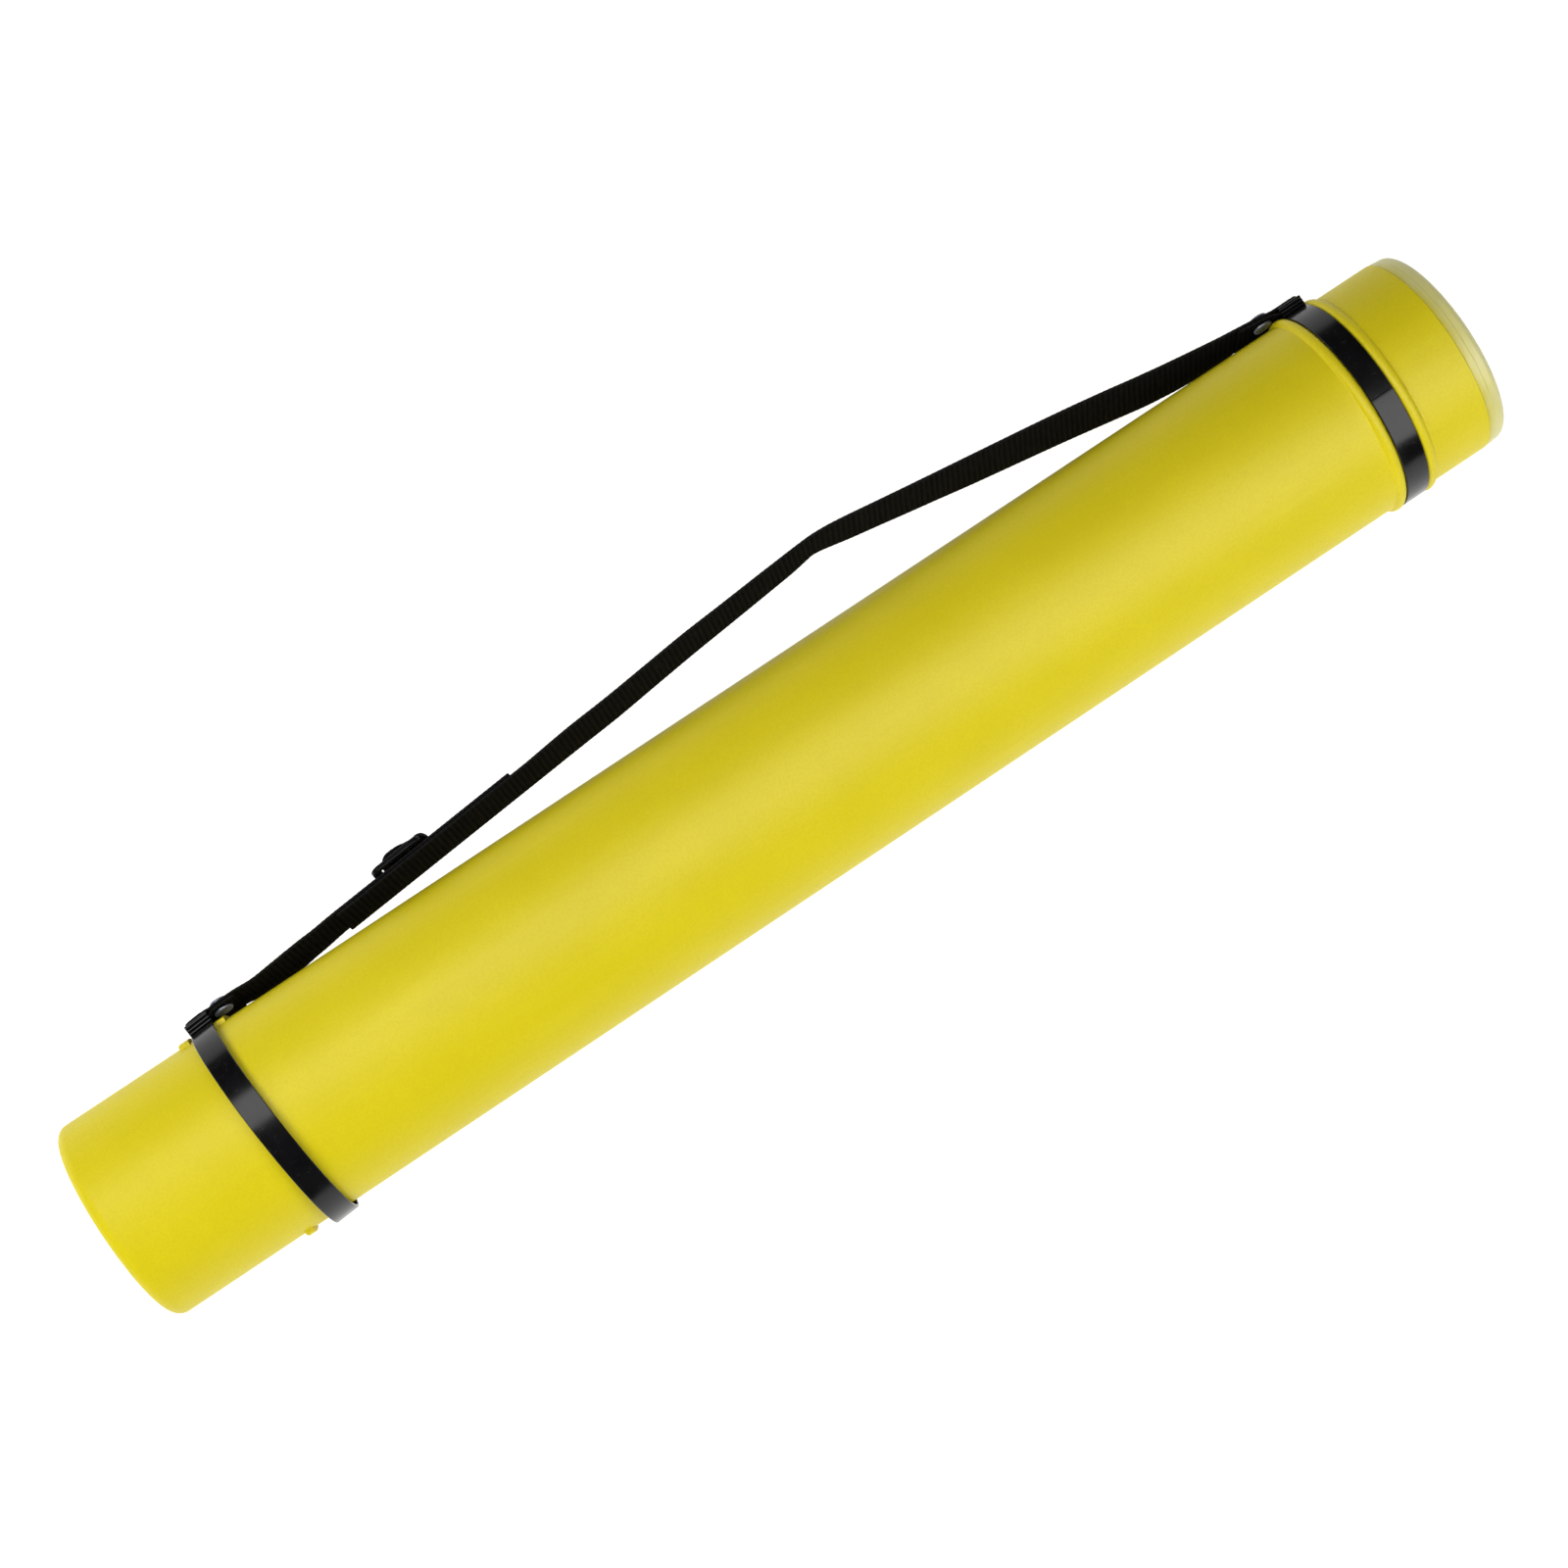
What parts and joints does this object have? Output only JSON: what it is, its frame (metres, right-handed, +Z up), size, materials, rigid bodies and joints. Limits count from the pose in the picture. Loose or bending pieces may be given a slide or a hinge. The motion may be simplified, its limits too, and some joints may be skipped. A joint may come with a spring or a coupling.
{
  "type": "drawing tube",
  "caption": "Round plastic drawing tube with a closed base, a see-through plug cap and a webbing carrying strap held by two bands.",
  "frame": {"origin": "centre of the closed base's outer face, on the tube's axis", "axes": "+X along the tube from the base to the cap, +Y towards the strap, +Z up with the tube lying on its side"},
  "size_m": [0.653, 0.1275, 0.0967],
  "materials": {
    "tube": "fine pebble grain, satin",
    "cap": "natural milky see-through",
    "band": "glossy",
    "webbing": "woven, fine cross ribs",
    "slider": "glossy",
    "rivet": "blued, satin"
  },
  "bodies": {
    "tube": {"tube_body": "tube"},
    "cap": {"end_cap": "cap"},
    "strap": {"lower_band": "band", "upper_band": "band", "lower_clip": "band", "upper_clip": "band", "lower_webbing": "webbing", "upper_webbing": "webbing", "rivet_caps": "rivet", "rivet_posts": "rivet"},
    "adjuster": {"slider": "slider", "webbing_bight": "webbing"}
  },
  "joints": [
    {"name": "cap_pull", "type": "slide", "parent": "tube", "child": "cap", "axis": [1, 0, 0], "range_m": [0, 0.12]},
    {"name": "strap_swivel", "type": "hinge", "parent": "tube", "child": "strap", "pos_m": [0, 0, 0], "axis": [1, 0, 0], "continuous": true},
    {"name": "slider_travel", "type": "slide", "parent": "strap", "child": "adjuster", "axis": [0.9958, 0.092, 0], "range_m": [-0.018, 0.04]}
  ]
}
